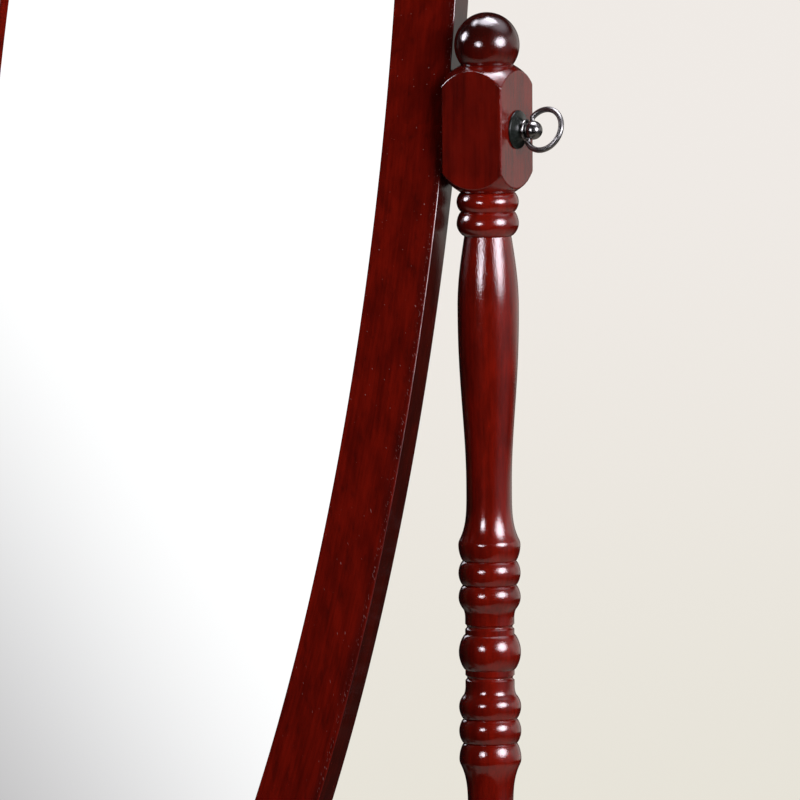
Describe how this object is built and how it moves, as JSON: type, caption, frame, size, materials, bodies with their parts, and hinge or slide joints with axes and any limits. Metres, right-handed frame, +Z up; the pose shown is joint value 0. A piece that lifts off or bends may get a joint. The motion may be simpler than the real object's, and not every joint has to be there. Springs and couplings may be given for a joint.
{
  "type": "cheval floor mirror",
  "caption": "Oval full-length mirror tilting between turned posts on clamp bolts with ring pulls, on a stretcher base with splayed scroll legs and castors.",
  "frame": {"origin": "on the floor, midway between the castors, under the middle of the pivot line", "axes": "+Z up, +X to the right along the pivot line, and the glass faces -Y"},
  "size_m": [0.5624, 0.47, 1.5359],
  "materials": {
    "cherry_wood": "gloss lacquer over a dark cherry stain",
    "mirror_glass": "polished",
    "hardboard": "smooth hardboard",
    "beech": "plain",
    "zinc_steel": "zinc plated",
    "brass": "dull",
    "pewter": "polished gunmetal plate",
    "dark_bronze": "blackened",
    "washer_rubber": "matt",
    "castor_wheel": "satin"
  },
  "bodies": {
    "stand": {"right_post": "cherry_wood", "left_post": "cherry_wood", "stretcher": "cherry_wood", "stretcher_inserts": "brass", "stretcher_bolts": "zinc_steel", "stretcher_dowels": "beech", "bolt_buttons": "cherry_wood", "front_right_leg": "cherry_wood", "back_right_leg": "cherry_wood", "front_left_leg": "cherry_wood", "back_left_leg": "cherry_wood", "leg_dowels": "beech", "leg_inserts": "brass", "leg_bolts": "zinc_steel", "steel_spacers": "zinc_steel", "castor_sockets": "brass"},
    "mirror": {"oval_frame": "cherry_wood", "mirror_glass": "mirror_glass", "backing_board": "hardboard", "back_clips": "zinc_steel", "clip_screws": "zinc_steel", "pivot_inserts": "brass", "rubber_washers": "washer_rubber"},
    "right_rosette_seat": {"right_rosette": "dark_bronze"},
    "right_clamp": {"right_clamp_bolt": "pewter"},
    "right_pull": {"right_ring": "pewter"},
    "left_rosette_seat": {"left_rosette": "dark_bronze"},
    "left_clamp": {"left_clamp_bolt": "pewter"},
    "left_pull": {"left_ring": "pewter"},
    "front_right_swivel": {"front_right_fork": "dark_bronze", "front_right_axle": "zinc_steel"},
    "front_right_roller": {"front_right_wheel": "castor_wheel"},
    "back_right_swivel": {"back_right_fork": "dark_bronze", "back_right_axle": "zinc_steel"},
    "back_right_roller": {"back_right_wheel": "castor_wheel"},
    "front_left_swivel": {"front_left_fork": "dark_bronze", "front_left_axle": "zinc_steel"},
    "front_left_roller": {"front_left_wheel": "castor_wheel"},
    "back_left_swivel": {"back_left_fork": "dark_bronze", "back_left_axle": "zinc_steel"},
    "back_left_roller": {"back_left_wheel": "castor_wheel"}
  },
  "joints": [
    {"name": "mirror_tilt", "type": "hinge", "parent": "stand", "child": "mirror", "pos_m": [0, 0, 0.86], "axis": [1, 0, 0], "continuous": true},
    {"name": "right_clamp_travel", "type": "slide", "parent": "stand", "child": "right_rosette_seat", "axis": [1, 0, 0], "range_m": [0, 0.0025]},
    {"name": "right_clamp_turn", "type": "hinge", "parent": "right_rosette_seat", "child": "right_clamp", "pos_m": [0.2455, 0, 0.86], "axis": [1, 0, 0], "range_deg": [0, 720]},
    {"name": "right_ring_swing", "type": "hinge", "parent": "right_clamp", "child": "right_pull", "pos_m": [0.2551, 0, 0.86], "axis": [0, 0.3843, 0.9232], "range_deg": [-70, 89]},
    {"name": "left_clamp_travel", "type": "slide", "parent": "stand", "child": "left_rosette_seat", "axis": [-1, 0, 0], "range_m": [0, 0.0025]},
    {"name": "left_clamp_turn", "type": "hinge", "parent": "left_rosette_seat", "child": "left_clamp", "pos_m": [-0.2455, 0, 0.86], "axis": [-1, 0, 0], "range_deg": [0, 720]},
    {"name": "left_ring_swing", "type": "hinge", "parent": "left_clamp", "child": "left_pull", "pos_m": [-0.2551, 0, 0.86], "axis": [0, 0.3843, 0.9232], "range_deg": [-89, 70]},
    {"name": "front_right_swivel_turn", "type": "hinge", "parent": "stand", "child": "front_right_swivel", "pos_m": [0.2235, -0.204, 0.04], "axis": [0, 0, 1], "continuous": true},
    {"name": "front_right_wheel_roll", "type": "hinge", "parent": "front_right_swivel", "child": "front_right_roller", "pos_m": [0.2235, -0.192, 0.016], "axis": [1, 0, 0], "continuous": true},
    {"name": "back_right_swivel_turn", "type": "hinge", "parent": "stand", "child": "back_right_swivel", "pos_m": [0.2235, 0.204, 0.04], "axis": [0, 0, 1], "continuous": true},
    {"name": "back_right_wheel_roll", "type": "hinge", "parent": "back_right_swivel", "child": "back_right_roller", "pos_m": [0.2235, 0.216, 0.016], "axis": [1, 0, 0], "continuous": true},
    {"name": "front_left_swivel_turn", "type": "hinge", "parent": "stand", "child": "front_left_swivel", "pos_m": [-0.2235, -0.204, 0.04], "axis": [0, 0, 1], "continuous": true},
    {"name": "front_left_wheel_roll", "type": "hinge", "parent": "front_left_swivel", "child": "front_left_roller", "pos_m": [-0.2235, -0.192, 0.016], "axis": [1, 0, 0], "continuous": true},
    {"name": "back_left_swivel_turn", "type": "hinge", "parent": "stand", "child": "back_left_swivel", "pos_m": [-0.2235, 0.204, 0.04], "axis": [0, 0, 1], "continuous": true},
    {"name": "back_left_wheel_roll", "type": "hinge", "parent": "back_left_swivel", "child": "back_left_roller", "pos_m": [-0.2235, 0.216, 0.016], "axis": [1, 0, 0], "continuous": true}
  ],
  "couplings": [
    {"joint": "right_clamp_turn", "follows": "right_clamp_travel", "rad_per_m": 5026.5},
    {"joint": "left_clamp_turn", "follows": "left_clamp_travel", "rad_per_m": 5026.5}
  ]
}
